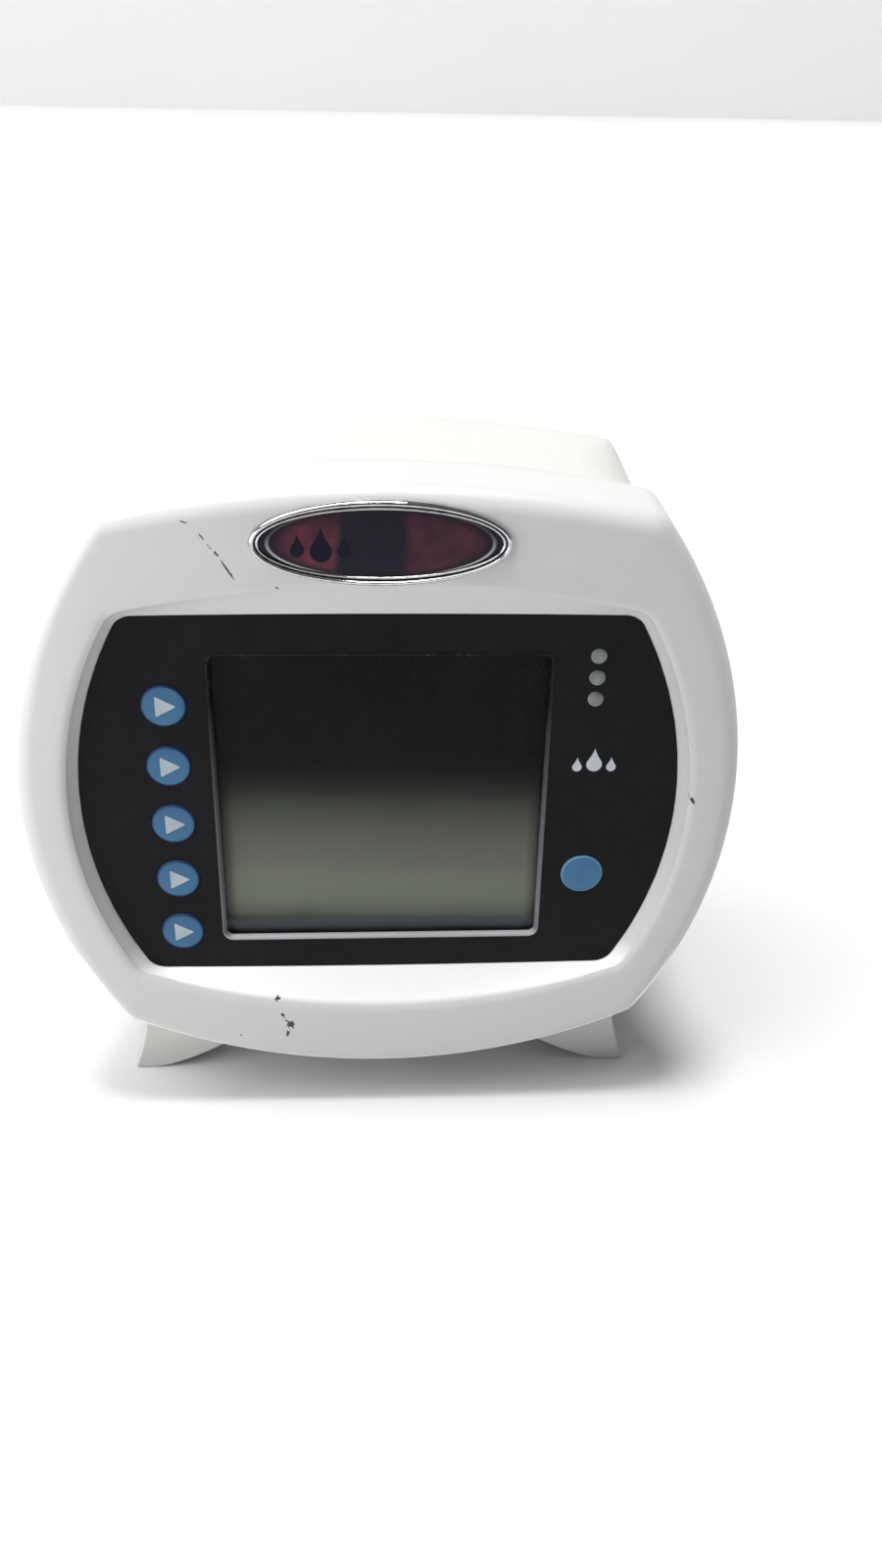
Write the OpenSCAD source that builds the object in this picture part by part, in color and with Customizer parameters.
// Bench-top enteral infusion pump: a two-part moulded case with a display and keypad in front,
// a rotary peristaltic drive behind a see-through door on the right, and a battery bay at the back.
// Millimetres. +Z is up, the display faces -Y, and the origin is on the table under the middle.

/* [Case] */
// Width of the case at its widest
case_w = 193; // [185:1:200]
// Height of the top of the case above the table
case_top = 190.5; // [186:0.5:194]
// Height of the lowest point of the front shell above the table
case_bottom = 13.5; // [12:0.5:16]
// Depth from the front rim to the back face
case_d = 112; // [106:1:118]
// Depth of the front shell, from its rim to the parting line
front_shell_d = 25; // [22:0.5:28]
// Wall thickness of both shells
wall = 2.5; // [2:0.1:3]
// Radius of the rounded front rim
rim_r = 5.5; // [4:0.5:7]
// Inset of the rear housing's sides from the front shell's
waist = 7; // [5:0.5:8]
// Depth of the keypad overlay below the front rim
panel_recess = 5; // [4:0.5:5.5]

/* [Display and keys] */
// Width of the display window
window_w = 90; // [80:1:92]
// Height of the display window
window_h = 89; // [80:1:92]
// Radius of a key
key_r = 5.85; // [5:0.05:6.5]
// Distance between the soft keys
key_pitch = 17.7; // [16:0.1:18.5]
// Distance of both key columns from the middle
key_x = 56.2; // [54:0.1:58]
// Travel of a key
key_travel = 0.6; // [0.3:0.1:0.6]
// Radius of a status light
lamp_r = 2.3; // [2:0.1:2.5]
// Distance between the status lights
lamp_pitch = 6.1; // [5.5:0.1:6.5]

/* [Badge] */
// Width of the oval badge
badge_w = 64; // [58:0.5:68]
// Height of the oval badge
badge_h = 22; // [18:0.5:23]
// How far the badge stands proud of the front rim
badge_t = 1.6; // [1:0.1:2]

/* [Pump drive] */
// Radius of the rotor's discs
rotor_r = 16.5; // [15:0.5:17]
// Radius of a roller
roller_r = 4; // [3.5:0.1:4.2]
// Distance of a roller's pin from the rotor's axis
roller_orbit = 13; // [12.5:0.1:13.2]
// Number of rollers
roller_count = 3; // [3:1:3]
// Radius of the drive shaft
shaft_r = 2.5; // [2:0.1:3]

/* [Hidden] */
$fn = 64;

// Depth stations
rim_y = -(case_d - badge_t) / 2;       // front rim
back_y = rim_y + case_d;               // back face
parting_y = rim_y + front_shell_d;     // rear edge of the front shell
gasket_t = 0.8;
housing_y = parting_y + gasket_t;      // front edge of the rear housing
panel_y = rim_y + panel_recess;        // front of the overlay
panel_t = 1.4;
behind_panel = panel_y + panel_t;

// A four-arc outline: [top z, top radius, bottom z, bottom radius, side x, side z, side radius]
case_outline = [case_top, 328, case_bottom, 165, case_w / 2, 104, 130];
back_outline = [case_top - 3, 420, case_bottom, 165, case_w / 2, 104, 160];
lip_outline = [165.3, 325, 35.8, 182, 83, 102.3, 107];
panel_outline = [156.5, 4000, 47.2, 4000, 80.5, 102.3, 104.8];
case_corner = 9;
panel_corner = 6;
side_steps = 11;
corner_steps = 7;
ring_count = 4 * (side_steps + corner_steps);

// Places on the front
display_z = 101.3;
lcd_half = 45.4;
key_z = [for (i = [0:4]) 131.1 - i * key_pitch];
power_z = 78.2;
lamp_z = [for (i = [0:2]) 144.7 - i * lamp_pitch];
badge_z = 176.9;
badge_band = 2.3;

// Side bay for the tubing set
bay_y = [rim_y + 43, rim_y + 94];
bay_z = [62, 146];
bay_floor = 59.5;
side_axis = [case_w / 2 - back_outline[6], back_outline[5]];
side_r = back_outline[6] - waist;
deck_gap = 0.55;
rotor_y = (bay_y[0] + bay_y[1]) / 2;
rotor_z = 117;
valve_y = rotor_y - 11;
sensor_y = rotor_y + 11;
bay_low_z = 78;
door_gap = 0.5;
door_t = 2.4;
hinge = [92, bay_y[1] + 1.4];
hinge_z = [84, 90, 118, 124];
hinge_pin_r = 1.1;
hinge_gap = 0.05;

// Back face
clamp_z = 104;
socket_z = 46;
socket_x = -46;
jack_x = -20;
battery_x = [-70, -18];
battery_z = [72, 138];
buzzer_at = [-40, 160];
screw_at = [for (x = [-60, 60], z = [39, 169]) [x, z]];
boss_r = 4.5;
screw_r = 1.75;
screw_depth = 18;

// Feet
leg_y = [[rim_y + 17.2, rim_y + 41], [back_y - 30, back_y - 6]];
pad_t = 1.2;
pad_x = 72.4;
pad_half = 2.2;

// Boards
board_t = 1.6;
display_board_y = rim_y + 15.2;
main_board_y = rim_y + 34;
board_screw_at = [for (x = [-71, 71], z = [display_z - 25, display_z + 25]) [x, z]];
spacer_at = [for (x = [-57, 47], z = [57, 146]) [x, z]];

// ---------- outlines and skins ----------

function circles_meet(c1, r1, c2, r2, side) =
    let (gap = c2 - c1, far = norm(gap), along = (far * far + r1 * r1 - r2 * r2) / (2 * far),
         across = sqrt(r1 * r1 - along * along), u = gap / far)
    c1 + along * u + side * across * [-u[1], u[0]];

function around(middle, half) = [middle - half, middle + half];

function grown(range, by) = [range[0] - by, range[1] + by];

function arc_points(c, r, a, b, n) = [for (j = [0:n - 1])
    let (t = a + (b - a) * j / n) c + r * [cos(t), sin(t)]];

// The outline moved in by inset, with its four corners rounded by corner
function outline(o, inset = 0, corner = case_corner) =
    let (top_c = [0, o[0] - o[1]], low_c = [0, o[2] + o[3]], side_c = [o[4] - o[6], o[5]],
         left_c = [-side_c[0], side_c[1]],
         top_r = o[1] - inset, low_r = o[3] - inset, bulge_r = o[6] - inset,
         upper = circles_meet(top_c, top_r - corner, side_c, bulge_r - corner, -1),
         lower = circles_meet(low_c, low_r - corner, side_c, bulge_r - corner, 1),
         side_a = atan2(lower[1] - side_c[1], lower[0] - side_c[0]),
         side_b = atan2(upper[1] - side_c[1], upper[0] - side_c[0]),
         top_a = atan2(upper[1] - top_c[1], upper[0] - top_c[0]),
         low_a = atan2(lower[1] - low_c[1], lower[0] - low_c[0]))
    concat(
        arc_points(side_c, bulge_r, side_a, side_b, side_steps),
        arc_points(upper, corner, side_b, top_a, corner_steps),
        arc_points(top_c, top_r, top_a, 180 - top_a, side_steps),
        arc_points([-upper[0], upper[1]], corner, 180 - top_a, 180 - side_b, corner_steps),
        arc_points(left_c, bulge_r, 180 - side_b, 180 - side_a, side_steps),
        arc_points([-lower[0], lower[1]], corner, 180 - side_a, 180 - low_a, corner_steps),
        arc_points(low_c, low_r, 180 - low_a, 360 + low_a, side_steps),
        arc_points(lower, corner, 360 + low_a, 360 + side_a, corner_steps));

// A row of 3D points: that outline at depth y
function row(y, o, inset, corner) = [for (p = outline(o, inset, corner)) [p[0], y, p[1]]];

function band(a, b, n) = [for (i = [0:n - 1]) each
    [[a + i, b + i, b + (i + 1) % n], [a + i, b + (i + 1) % n, a + (i + 1) % n]]];

// A solid whose skin passes through the rows: a closed ring, or a body with a flat face at each end
module skin(rows, ring = false) {
    n = len(rows[0]);
    last = len(rows) - 1;
    sides = [for (r = [0:last - 1]) each band(r * n, (r + 1) * n, n)];
    ends = ring
        ? band(last * n, 0, n)
        : [[for (i = [0:n - 1]) i], [for (i = [n - 1:-1:0]) last * n + i]];
    polyhedron(points = [for (r = rows) each r], faces = concat(sides, ends));
}

// ---------- helpers ----------

// Facets of the large case circles
side_facets = 360;

// Extrudes a shape drawn in X and Z from depth y0 to y1
module along_y(y0, y1) {
    translate([0, y1, 0]) rotate([90, 0, 0]) linear_extrude(y1 - y0) children();
}

module rod_y(x, z, r, y0, y1) {
    translate([x, y1, z]) rotate([90, 0, 0]) cylinder(r = r, h = y1 - y0);
}

module rod_x(y, z, r, x0, x1) {
    translate([x0, y, z]) rotate([0, 90, 0]) cylinder(r = r, h = x1 - x0);
}

module block(x, y, z) {
    translate([x[0], y[0], z[0]]) cube([x[1] - x[0], y[1] - y[0], z[1] - z[0]]);
}

module rounded_rect(x, z, r) {
    for (px = [x[0] + r, x[1] - r], pz = [z[0] + r, z[1] - r]) translate([px, pz]) circle(r = r);
    translate([x[0] + r, z[0]]) square([x[1] - x[0] - 2 * r, z[1] - z[0]]);
    translate([x[0], z[0] + r]) square([x[1] - x[0], z[1] - z[0] - 2 * r]);
}

// The right side's curved wall between two radii, as deep as y and as high as z
module side_wall(r0, r1, y, z) {
    intersection() {
        difference() {
            rod_y(side_axis[0], side_axis[1], r1, y[0], y[1], $fn = side_facets);
            rod_y(side_axis[0], side_axis[1], r0, y[0] - 1, y[1] + 1, $fn = side_facets);
        }
        block([50, case_w / 2 + 1], [y[0], y[1]], z);
    }
}

// ---------- case ----------

module front_shell() {
    inner_rim = rim_r - wall + 1;
    outer = concat(
        [row(parting_y, case_outline, 0.4, case_corner - 0.4),
         row(parting_y - 1, case_outline, 0, case_corner)],
        [for (a = [0:22.5:90]) let (d = rim_r * (1 - cos(a)))
            row(rim_y + rim_r * (1 - sin(a)), case_outline, d, max(case_corner - d, 3))]);
    face = [
        row(rim_y, lip_outline, -1.6, panel_corner + 1),
        row(rim_y + 0.15, lip_outline, -0.8, panel_corner + 0.5),
        row(rim_y + 0.6, lip_outline, 0, panel_corner),
        row(panel_y, panel_outline, 0, panel_corner),
        row(behind_panel + 0.1, panel_outline, 0, panel_corner),
        row(behind_panel + 0.1, panel_outline, 3, panel_corner - 3),
        row(behind_panel + 2.2, panel_outline, 3, panel_corner - 3)];
    inner = [
        row(behind_panel + 2.2, panel_outline, -1.5, panel_corner),
        row(rim_y + wall + 0.4, lip_outline, -2, panel_corner),
        row(rim_y + wall, case_outline, wall + inner_rim, 4),
        row(rim_y + wall + inner_rim * 0.3, case_outline, wall + inner_rim * 0.3, 5),
        row(rim_y + wall + inner_rim, case_outline, wall, case_corner - wall),
        row(parting_y, case_outline, wall + 1.2, case_corner - wall - 1.2)];
    color("whitesmoke") difference() {
        union() {
            skin(concat(outer, face, inner), ring = true);
            for (p = screw_at) rod_y(p[0], p[1], boss_r, rim_y + wall - 0.6, parting_y - 0.5);
        }
        for (p = screw_at) rod_y(p[0], p[1], screw_r, rim_y + wall + 2, parting_y + 1);
    }
}

// Behind the parting line, at each depth: the inset of the housing's outside and its side radius
flare = [[0, 1, 130], [1.5, 2.4, 132], [4, 4.2, 137], [8, 5.6, 145], [14, waist - 0.3, 154], [17, waist, 160],
         [22, waist, 160]];
taper_from = 22;
taper_to = 64;
straight_to = 77.2;
mid_corner = 26;

// The case outline with another side radius
function with_side(o, r) = [o[0], o[1], o[2], o[3], o[4], o[5], r];

// The housing's long corners are rounder half way along than at its two ends
function housing_corner(depth, inset) =
    max(case_corner - inset * 0.6, 3) + mid_corner * sin(180 * min(depth / straight_to, 1));

function tapered(t) = with_side(case_outline, 160) * (1 - t) + back_outline * t;

function housing_rows(skin_in, back_in, corner_r) = concat(
    [for (f = flare) row(housing_y + f[0], with_side(case_outline, f[2]), f[1] + skin_in,
        housing_corner(f[0], f[1] + skin_in))],
    [for (t = [0.25:0.25:1]) let (d = taper_from + (taper_to - taper_from) * t)
        row(housing_y + d, tapered(t), waist + skin_in, housing_corner(d, waist + skin_in))],
    [for (a = [22.5:22.5:90]) let (d = waist + skin_in + corner_r * (1 - cos(a)))
        row(back_y - back_in - corner_r * (1 - sin(a)), back_outline, d, max(case_corner - d * 0.6, 2.5))]);

module leg_profile() {
    difference() {
        polygon(concat(
            [[75.4, 0], [76.3, 1.2], [74.2, 6], [72.6, 12], [71.4, 22], [71, 46], [40, 46]],
            [for (t = [1:-0.125:0]) [69.4 - 26.4 * t, 12 * pow(t, 1.4)]]));
        translate([0, case_bottom + case_outline[3]])
            circle(r = case_outline[3] - waist - 1.5, $fn = side_facets);
    }
}

module leg(y) {
    along_y(max(y[0], housing_y), y[1]) leg_profile();
    if (y[0] < housing_y) along_y(y[0], housing_y) difference() {
        leg_profile();
        translate([0, case_bottom + case_outline[3]]) circle(r = case_outline[3] + 0.4, $fn = side_facets);
    }
}

module rear_housing() {
    rows = housing_rows(0, 0, 9);
    hollow = housing_rows(wall, wall, 9 - wall);
    count = len(rows);
    color("white") difference() {
        union() {
            skin(concat([for (i = [count - 1:-1:0]) rows[i]], hollow));
            for (p = screw_at) rod_y(p[0], p[1], boss_r, housing_y + 1, back_y - 4);
            rod_y(0, clamp_z, 9, back_y - 14, back_y - wall + 0.5);
        }
        for (p = screw_at) {
            rod_y(p[0], p[1], screw_r + 0.3, housing_y, back_y + 1);
            rod_y(p[0], p[1], 3.7, back_y - screw_depth, back_y + 1);
        }
        rod_y(0, clamp_z, 5, back_y - 15, back_y + 1);
        block([70, case_w / 2 + 1], bay_y, bay_z);
        along_y(back_y - 10, back_y + 1) rounded_rect(around(socket_x, 9.2), around(socket_z, 6.2), 1.5);
        rod_y(jack_x, socket_z, 4.1, back_y - 10, back_y + 1);
        along_y(back_y - wall - 1, back_y + 1) rounded_rect(battery_x, battery_z, 4);
        for (a = [0:60:300])
            rod_y(buzzer_at[0] + 5 * cos(a), buzzer_at[1] + 5 * sin(a), 1.1, back_y - wall - 1, back_y + 1);
    }
}

module legs() {
    color("white") for (y = leg_y, side = [0, 1]) mirror([side, 0, 0]) difference() {
        leg(y);
        skin_rows = housing_rows(0, 0, 9);
        skin([for (i = [len(skin_rows) - 1:-1:0]) skin_rows[i]]);
        block(around(pad_x, pad_half + 0.1), [y[0] + 3, y[1] - 3], [-1, pad_t]);
    }
}

module case_gasket() {
    color("dimgray") along_y(parting_y, housing_y) difference() {
        polygon(outline(case_outline, 1.6, case_corner - 1.6));
        polygon(outline(case_outline, 3, case_corner - 3));
    }
}

module case_screws() {
    color("silver") for (p = screw_at) difference() {
        union() {
            rod_y(p[0], p[1], 3.3, back_y - screw_depth, back_y - screw_depth + 2.4);
            rod_y(p[0], p[1], screw_r, rim_y + wall + 4, back_y - screw_depth + 0.5);
        }
        along_y(back_y - 16.8, back_y - 15) translate(p) square([4, 0.8], center = true);
        along_y(back_y - 16.8, back_y - 15) translate(p) square([0.8, 4], center = true);
    }
}

module foot_pads() {
    color("gray") for (y = leg_y, side = [-1, 1])
        block(around(side * pad_x, pad_half), [y[0] + 3.1, y[1] - 3.1], [0, pad_t - 0.05]);
}

// ---------- front panel ----------

module overlay_panel() {
    color("midnightblue") difference() {
        along_y(panel_y, behind_panel) polygon(outline(panel_outline, 0.15, panel_corner - 0.15));
        along_y(panel_y - 1, behind_panel + 1) rounded_rect(
            [-window_w / 2, window_w / 2], [display_z - window_h / 2, display_z + window_h / 2], 3);
        for (z = key_z) rod_y(-key_x, z, key_r + 0.2, panel_y - 1, behind_panel + 1);
        rod_y(key_x, power_z, key_r + 0.2, panel_y - 1, behind_panel + 1);
        for (z = lamp_z) rod_y(key_x, z, lamp_r, panel_y - 1, behind_panel + 1);
    }
}

module keypad_frame() {
    color("gainsboro") difference() {
        union() {
            along_y(behind_panel + 0.1, behind_panel + 2.1)
                polygon(outline(panel_outline, 3.2, panel_corner - 3.2));
            for (p = board_screw_at) rod_y(p[0], p[1], 2.6, behind_panel + 1, display_board_y);
        }
        along_y(behind_panel, behind_panel + 3) rounded_rect(around(0, 47.6), around(display_z, 47.6), 4);
        for (z = key_z) rod_y(-key_x, z, key_r + 1.3, behind_panel, behind_panel + 3);
        rod_y(key_x, power_z, key_r + 1.3, behind_panel, behind_panel + 3);
        for (z = lamp_z) rod_y(key_x, z, lamp_r, behind_panel, behind_panel + 3);
        for (p = board_screw_at) rod_y(p[0], p[1], 1.2, display_board_y - 5, display_board_y + 1);
    }
}

module display_window() {
    color("lightgray", 0.4) along_y(behind_panel + 0.1, behind_panel + 1.5) rounded_rect(
        around(0, 47.5), around(display_z, 47.5), 4);
}

module lcd_glass() {
    glass_y = [behind_panel + 1.8, behind_panel + 4.2];
    color("darkolivegreen") block(around(0, lcd_half), glass_y, around(display_z, lcd_half));
}

module lcd_frame() {
    color("silver") along_y(behind_panel + 1.7, display_board_y - 0.2) difference() {
        translate([0, display_z]) square(95, center = true);
        translate([0, display_z]) square(2 * lcd_half + 0.2, center = true);
    }
}

module lcd_backlight() {
    light_y = [behind_panel + 4.4, display_board_y - 0.4];
    color("white") block(around(0, lcd_half), light_y, around(display_z, lcd_half));
}

module display_board() {
    color("darkgreen") difference() {
        block(around(0, 75), [display_board_y, display_board_y + board_t], around(display_z, 49));
        for (p = board_screw_at) rod_y(p[0], p[1], 1.6, display_board_y - 1, display_board_y + board_t + 1);
    }
}

module key(x, z, mark) {
    difference() {
        union() {
            rod_y(x, z, key_r, panel_y - 0.5, behind_panel + 0.3);
            rod_y(x, z, key_r + 1, behind_panel + 0.2, behind_panel + 1.2);
            rod_y(x, z, 2.5, behind_panel + 1.1, behind_panel + 5);
        }
        along_y(panel_y - 1, panel_y - 0.3) translate([x, z]) {
            if (mark == "arrow") polygon([[-2.1, -2.9], [3.1, 0], [-2.1, 2.9]]);
            else square([0.7, 4.5], center = true);
        }
    }
}

module soft_key(i) {
    color("steelblue") key(-key_x, key_z[i], "arrow");
}

module power_key() {
    color("steelblue") key(key_x, power_z, "bar");
}

module keypad_mat() {
    mat_y = behind_panel + 5.7;
    color("gainsboro") {
        block([-key_x - 8, -key_x + 7], [mat_y, mat_y + 1.1], [52.5, 139.5]);
        block([key_x - 7, key_x + 8], [mat_y, mat_y + 1.1], [69.5, 87]);
    }
}

module key_switches() {
    switch_y = behind_panel + 6.9;
    color("black") {
        for (z = key_z) block([-key_x - 3, -key_x + 3], [switch_y, display_board_y], around(z, 3));
        block(around(key_x, 3), [switch_y, display_board_y], around(power_z, 3));
    }
}

module status_lenses() {
    color("lightgray") for (z = lamp_z) rod_y(key_x, z, lamp_r, panel_y - 0.1, behind_panel + 6);
}

module status_leds() {
    led_y = [behind_panel + 6.2, display_board_y];
    color("white") for (z = lamp_z) block(around(key_x, 1.6), led_y, around(z, 1.4));
}

module board_screws() {
    color("silver") for (p = board_screw_at) {
        rod_y(p[0], p[1], 2.6, display_board_y + board_t, display_board_y + board_t + 1.8);
        rod_y(p[0], p[1], 1.2, display_board_y - 4, display_board_y + board_t + 0.1);
    }
}

// ---------- badge ----------

module oval(w, h) {
    translate([0, badge_z]) scale([w / h, 1]) circle(r = h / 2);
}

module badge_ring() {
    color("silver") along_y(rim_y - badge_t, rim_y) difference() {
        oval(badge_w, badge_h);
        oval(badge_w - 2 * badge_band, badge_h - 2 * badge_band);
    }
}

module badge_lens() {
    inset = 2 * badge_band + 0.1;
    color("maroon") along_y(rim_y - badge_t + 0.6, rim_y) oval(badge_w - inset, badge_h - inset);
}

// ---------- electronics ----------

module main_board() {
    color("darkgreen") difference() {
        block([-62, 52], [main_board_y, main_board_y + board_t], [52, 156]);
        for (p = spacer_at) rod_y(p[0], p[1], 1.6, main_board_y - 1, main_board_y + board_t + 1);
    }
}

module board_spacers() {
    color("gold") for (p = spacer_at) rod_y(p[0], p[1], 2.6, display_board_y + board_t, main_board_y);
}

module processor_chips() {
    chip_y = [main_board_y - 2, main_board_y];
    color("black") {
        block([-28, -8], chip_y, [92, 112]);
        block([6, 18], chip_y, [96, 108]);
        block([-30, -20], chip_y, [72, 80]);
        block([22, 34], chip_y, [70, 78]);
    }
}

module board_connectors() {
    plug_y = [main_board_y + board_t, main_board_y + board_t + 6];
    color("ivory") {
        block([-56, -40], plug_y, [60, 66]);
        block([-6, 14], plug_y, [60, 66]);
        block([28, 46], plug_y, [140, 146]);
    }
}

module ribbon_cable() {
    back_of_display_board = display_board_y + board_t;
    color("tan") {
        block(around(0, 20), [back_of_display_board + 1, main_board_y - 1], [160, 160.6]);
        block(around(0, 20), [back_of_display_board + 0.1, back_of_display_board + 1.2], [145, 160.6]);
        block(around(0, 20), [main_board_y - 1.2, main_board_y - 0.1], [146, 160.6]);
    }
}

module buzzer() {
    color("black") difference() {
        rod_y(buzzer_at[0], buzzer_at[1], 10, back_y - 24, back_y - wall);
        rod_y(buzzer_at[0], buzzer_at[1], 8, back_y - 5, back_y);
    }
}

module battery_tray() {
    tray_y = [back_y - 34.5, back_y - wall - 0.1];
    color("white") difference() {
        block([battery_x[0] - 1.5, battery_x[1] + 1.5], tray_y, [battery_z[0] - 1.5, battery_z[1] + 1.5]);
        block(battery_x, [tray_y[0] + 1.5, tray_y[1] + 1], battery_z);
        battery_screw_hole(1.5, back_y - 10);
    }
}

module battery_screw_hole(r, y) {
    rod_y((battery_x[0] + battery_x[1]) / 2, battery_z[1] - 4.5, r, y, back_y + 1);
}

module battery_pack() {
    cell_y = [back_y - 33, back_y - wall - 1];
    cell_z = [battery_z[0] + 1, battery_z[1] - 7];
    color("royalblue") block([battery_x[0] + 1, battery_x[1] - 1], cell_y, cell_z);
}

module battery_contacts() {
    contact_y = [back_y - 30, back_y - 14];
    color("gold") for (x = [-54, -34]) block(around(x, 2.5), contact_y, [battery_z[0], battery_z[0] + 1]);
}

module battery_door() {
    color("white") difference() {
        along_y(back_y - wall, back_y) rounded_rect(
            [battery_x[0] + 0.25, battery_x[1] - 0.25], [battery_z[0] + 0.25, battery_z[1] - 0.25], 3.75);
        battery_screw_hole(1.7, back_y - 5);
        battery_screw_hole(3, back_y - 1.2);
    }
}

module battery_door_screw() {
    x = (battery_x[0] + battery_x[1]) / 2;
    color("silver") difference() {
        union() {
            rod_y(x, battery_z[1] - 4.5, 2.8, back_y - 1.2, back_y - 0.2);
            rod_y(x, battery_z[1] - 4.5, 1.5, back_y - 9, back_y - 1.1);
        }
        along_y(back_y - 0.7, back_y) translate([x, battery_z[1] - 4.5]) square([4, 0.7], center = true);
    }
}

// ---------- pump drive ----------

module pump_deck() {
    skin_r = side_r - wall - deck_gap;
    color("lightgray") difference() {
        intersection() {
            block([bay_floor - 2.5, case_w / 2], grown(bay_y, 2.2), grown(bay_z, 2.2));
            rod_y(side_axis[0], side_axis[1], skin_r, bay_y[0] - 3, bay_y[1] + 3, $fn = side_facets);
        }
        difference() {
            block([bay_floor, case_w / 2], bay_y, bay_z);
            difference() {
                rod_x(valve_y, bay_low_z, 9.5, bay_floor - 1, bay_floor + 9);
                rod_x(valve_y, bay_low_z, 7.5, bay_floor - 1, bay_floor + 10);
                block([bay_floor, bay_floor + 12], around(valve_y, 3.5), around(bay_low_z, 12));
            }
        }
        rod_x(rotor_y, rotor_z, 5, bay_floor - 5, bay_floor + 1);
        rod_x(valve_y, bay_low_z, 4.2, bay_floor - 5, bay_floor + 1);
        for (y = bay_y, z = bay_z)
            rod_x(y + (y < rotor_y ? 5 : -5), z + (z < rotor_z ? 5 : -5), 1.6, bay_floor - 5, bay_floor + 1);
    }
}

module deck_screws() {
    color("silver") for (y = bay_y, z = bay_z) {
        sy = y + (y < rotor_y ? 5 : -5);
        sz = z + (z < rotor_z ? 5 : -5);
        rod_x(sy, sz, 2.8, bay_floor, bay_floor + 1.8);
        rod_x(sy, sz, 1.5, bay_floor - 9, bay_floor + 0.1);
    }
}

module drive_motor() {
    color("gray") union() {
        rod_x(rotor_y, rotor_z, 12, 6, 37);
        rod_x(rotor_y, rotor_z, 4, 3, 7);
    }
}

module gearbox() {
    color("darkgray") difference() {
        rod_x(rotor_y, rotor_z, 15, 37, bay_floor - 2.5);
        rod_x(rotor_y, rotor_z, shaft_r + 0.1, 40, bay_floor);
        rod_x(rotor_y, rotor_z, 5, bay_floor - 4, bay_floor);
    }
}

module drive_shaft() {
    color("silver") rod_x(rotor_y, rotor_z, shaft_r, 41, bay_floor + 16.5);
}

module shaft_bush() {
    color("goldenrod") difference() {
        rod_x(rotor_y, rotor_z, 5, bay_floor - 4, bay_floor + 0.8);
        rod_x(rotor_y, rotor_z, shaft_r + 0.05, bay_floor - 5, bay_floor + 2);
    }
}

function roller_at(i) = [rotor_y + roller_orbit * cos(90 + 360 * i / roller_count),
                         rotor_z + roller_orbit * sin(90 + 360 * i / roller_count)];

module rotor() {
    x0 = bay_floor + 2;
    color("whitesmoke") difference() {
        union() {
            rod_x(rotor_y, rotor_z, rotor_r, x0, x0 + 2.5);
            rod_x(rotor_y, rotor_z, 7, x0 + 2, x0 + 15);
            rod_x(rotor_y, rotor_z, rotor_r, x0 + 14.5, x0 + 17);
        }
        rod_x(rotor_y, rotor_z, shaft_r, x0 - 1, x0 + 14.5);
        for (i = [0:roller_count - 1]) rod_x(roller_at(i)[0], roller_at(i)[1], 1.25, x0 - 1, x0 + 18);
    }
}

module roller_pins() {
    color("silver") for (i = [0:roller_count - 1])
        rod_x(roller_at(i)[0], roller_at(i)[1], 1.25, bay_floor + 2, bay_floor + 19);
}

module roller(i) {
    color("whitesmoke") difference() {
        rod_x(roller_at(i)[0], roller_at(i)[1], roller_r, bay_floor + 4.8, bay_floor + 16.2);
        rod_x(roller_at(i)[0], roller_at(i)[1], 1.3, bay_floor + 4, bay_floor + 17);
    }
}

module valve_stem() {
    color("orange") {
        rod_x(valve_y, bay_low_z, 4, bay_floor - 5.5, bay_floor + 4);
        block([bay_floor + 4, bay_floor + 8], around(valve_y, 1.2), around(bay_low_z, 3.4));
    }
}

module valve_actuator() {
    color("dimgray") difference() {
        block([34, bay_floor - 2.5], [valve_y - 9, valve_y + 9.5], around(bay_low_z, 9));
        rod_x(valve_y, bay_low_z, 4.2, bay_floor - 6, bay_floor);
    }
}

module tube_sensor() {
    color("darkslategray") difference() {
        block([bay_floor, bay_floor + 12], around(sensor_y, 6.8), [bay_low_z - 7.5, bay_low_z + 9]);
        block([bay_floor + 2, bay_floor + 13], around(sensor_y, 3), around(bay_low_z, 10));
    }
}

module hinge_rod(r, z0, z1) {
    translate([hinge[0], hinge[1], z0]) cylinder(r = r, h = z1 - z0);
}

module pump_door() {
    skin_x = side_axis[0] + side_r - 1.6;
    arm_z = [hinge_z[1] + 0.3, hinge_z[2] - 0.3];
    color("dodgerblue", 0.5) difference() {
        union() {
            side_wall(side_r - door_t, side_r, [bay_y[0] + door_gap, bay_y[1] - door_gap],
                [bay_z[0] + door_gap, bay_z[1] - door_gap]);
            block([skin_x, hinge[0]], [bay_y[1] - 5, bay_y[1] - door_gap], arm_z);
            block([hinge[0] - 2, hinge[0]], [bay_y[1] - 5, hinge[1]], arm_z);
            hinge_rod(2.2, arm_z[0], arm_z[1]);
            block([skin_x, skin_x + 3.4], [bay_y[0] + door_gap, bay_y[0] + 3.5], [96, 112]);
        }
        hinge_rod(hinge_pin_r + hinge_gap, hinge_z[1] - 1, hinge_z[2] + 1);
        door_keeper_block(0.05);
        for (y = [valve_y, sensor_y]) {
            block([60, case_w / 2], around(y, 3.5), [bay_z[0], bay_z[0] + 6]);
            rod_x(y, bay_z[0] + 6, 3.5, 60, case_w / 2);
        }
    }
}

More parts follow.
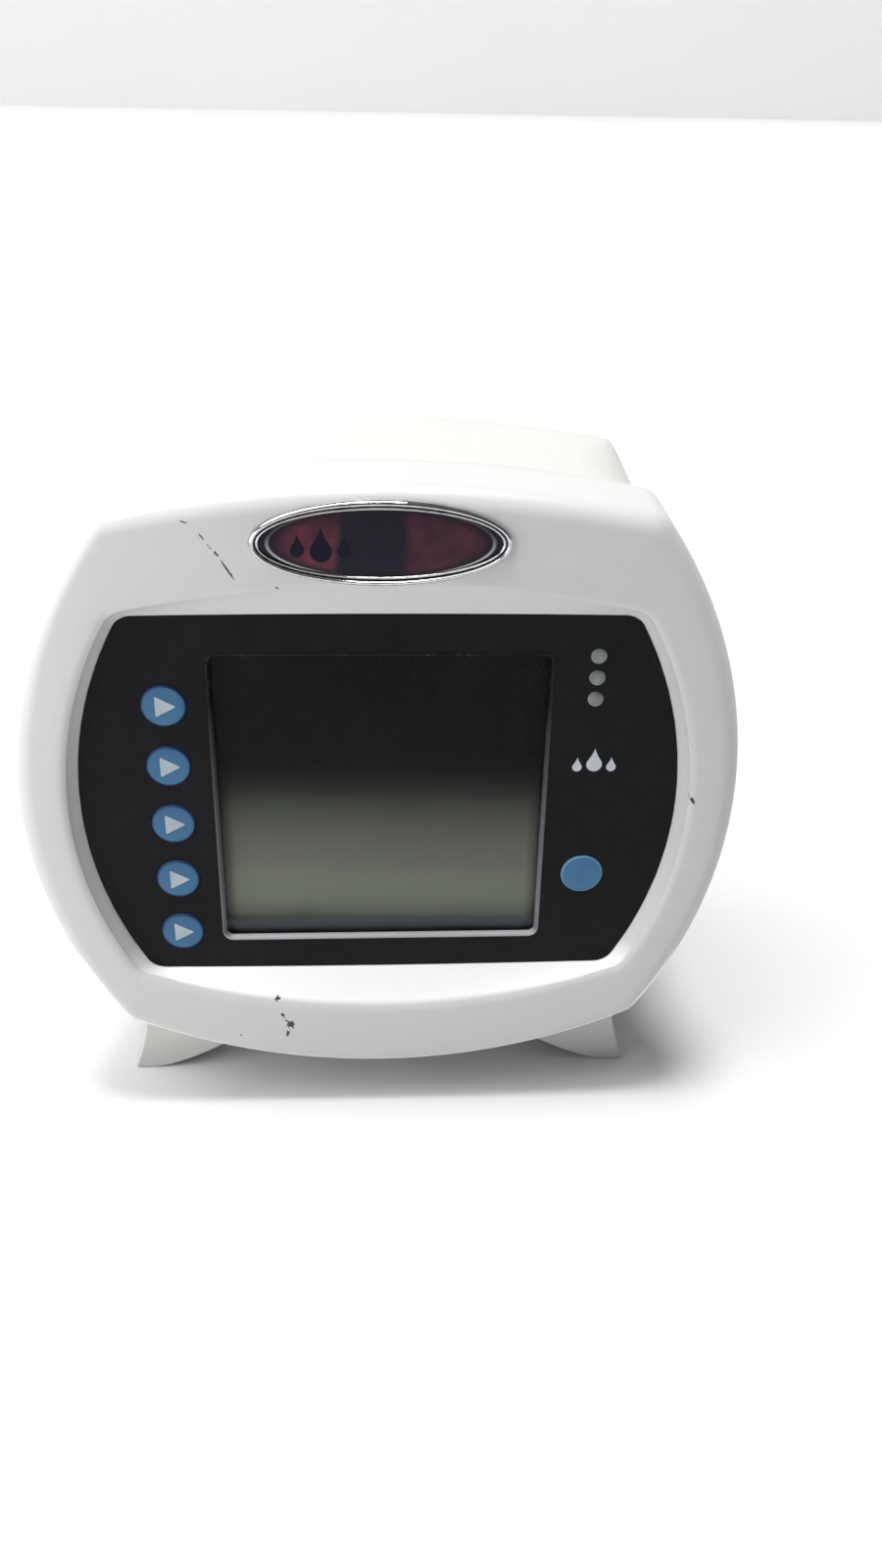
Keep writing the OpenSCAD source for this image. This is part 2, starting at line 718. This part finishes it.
module hinge_bracket() {
    web_x = [side_axis[0] + side_r - 2, hinge[0]];
    color("white") difference() {
        union() {
            block([web_x[0], hinge[0] - 0.8], [hinge[1] + 3, hinge[1] + 7], [hinge_z[0], hinge_z[3]]);
            for (z = [hinge_z[0], hinge_z[2]]) {
                hinge_rod(2.4, z, z + 6);
                block(web_x, [hinge[1], hinge[1] + 7], [z, z + 6]);
            }
        }
        rod_y(side_axis[0], side_axis[1], side_r + 0.02, hinge[1] - 4, hinge[1] + 8, $fn = side_facets);
        hinge_rod(hinge_pin_r, hinge_z[0] - 1, hinge_z[3] + 1);
    }
}

module door_hinge_pin() {
    color("silver") hinge_rod(hinge_pin_r, hinge_z[0], hinge_z[3]);
}

module door_magnet() {
    x = side_axis[0] + side_r - door_t - 6;
    color("gray") block([x, x + 5], [bay_y[0], bay_y[0] + 3], [99, 109]);
}

module door_keeper_block(gap) {
    x = side_axis[0] + side_r - door_t;
    block([x - 0.6, x + 0.7 + gap], [bay_y[0] + 1 - gap, bay_y[0] + 3.6 + gap], [100 - gap, 108 + gap]);
}

module door_keeper() {
    color("silver") door_keeper_block(0);
}

// ---------- sockets on the back ----------

module power_inlet() {
    color("black") difference() {
        along_y(back_y - 14, back_y - 0.2) rounded_rect(around(socket_x, 9), around(socket_z, 6), 1.4);
        block(around(socket_x, 7), [back_y - 12, back_y], around(socket_z, 4));
    }
}

module nurse_call_jack() {
    color("black") difference() {
        rod_y(jack_x, socket_z, 4, back_y - 15, back_y - 0.2);
        rod_y(jack_x, socket_z, 1.8, back_y - 13.2, back_y);
    }
}

module clamp_insert() {
    color("goldenrod") difference() {
        rod_y(0, clamp_z, 5, back_y - 14, back_y - 0.2);
        rod_y(0, clamp_z, 2.5, back_y - 12.2, back_y);
    }
}

front_shell();
rear_housing();
legs();
case_gasket();
case_screws();
foot_pads();
overlay_panel();
keypad_frame();
display_window();
lcd_glass();
lcd_frame();
lcd_backlight();
display_board();
keypad_mat();
key_switches();
power_key();
status_lenses();
status_leds();
board_screws();
badge_ring();
badge_lens();
main_board();
board_spacers();
processor_chips();
board_connectors();
ribbon_cable();
buzzer();
battery_tray();
battery_pack();
battery_contacts();
battery_door();
battery_door_screw();
pump_deck();
deck_screws();
drive_motor();
gearbox();
drive_shaft();
shaft_bush();
rotor();
roller_pins();
valve_stem();
valve_actuator();
tube_sensor();
pump_door();
hinge_bracket();
door_hinge_pin();
door_magnet();
door_keeper();
power_inlet();
nurse_call_jack();
clamp_insert();
for (i = [1:5]) soft_key(i - 1);
for (i = [1:roller_count]) roller(i - 1);
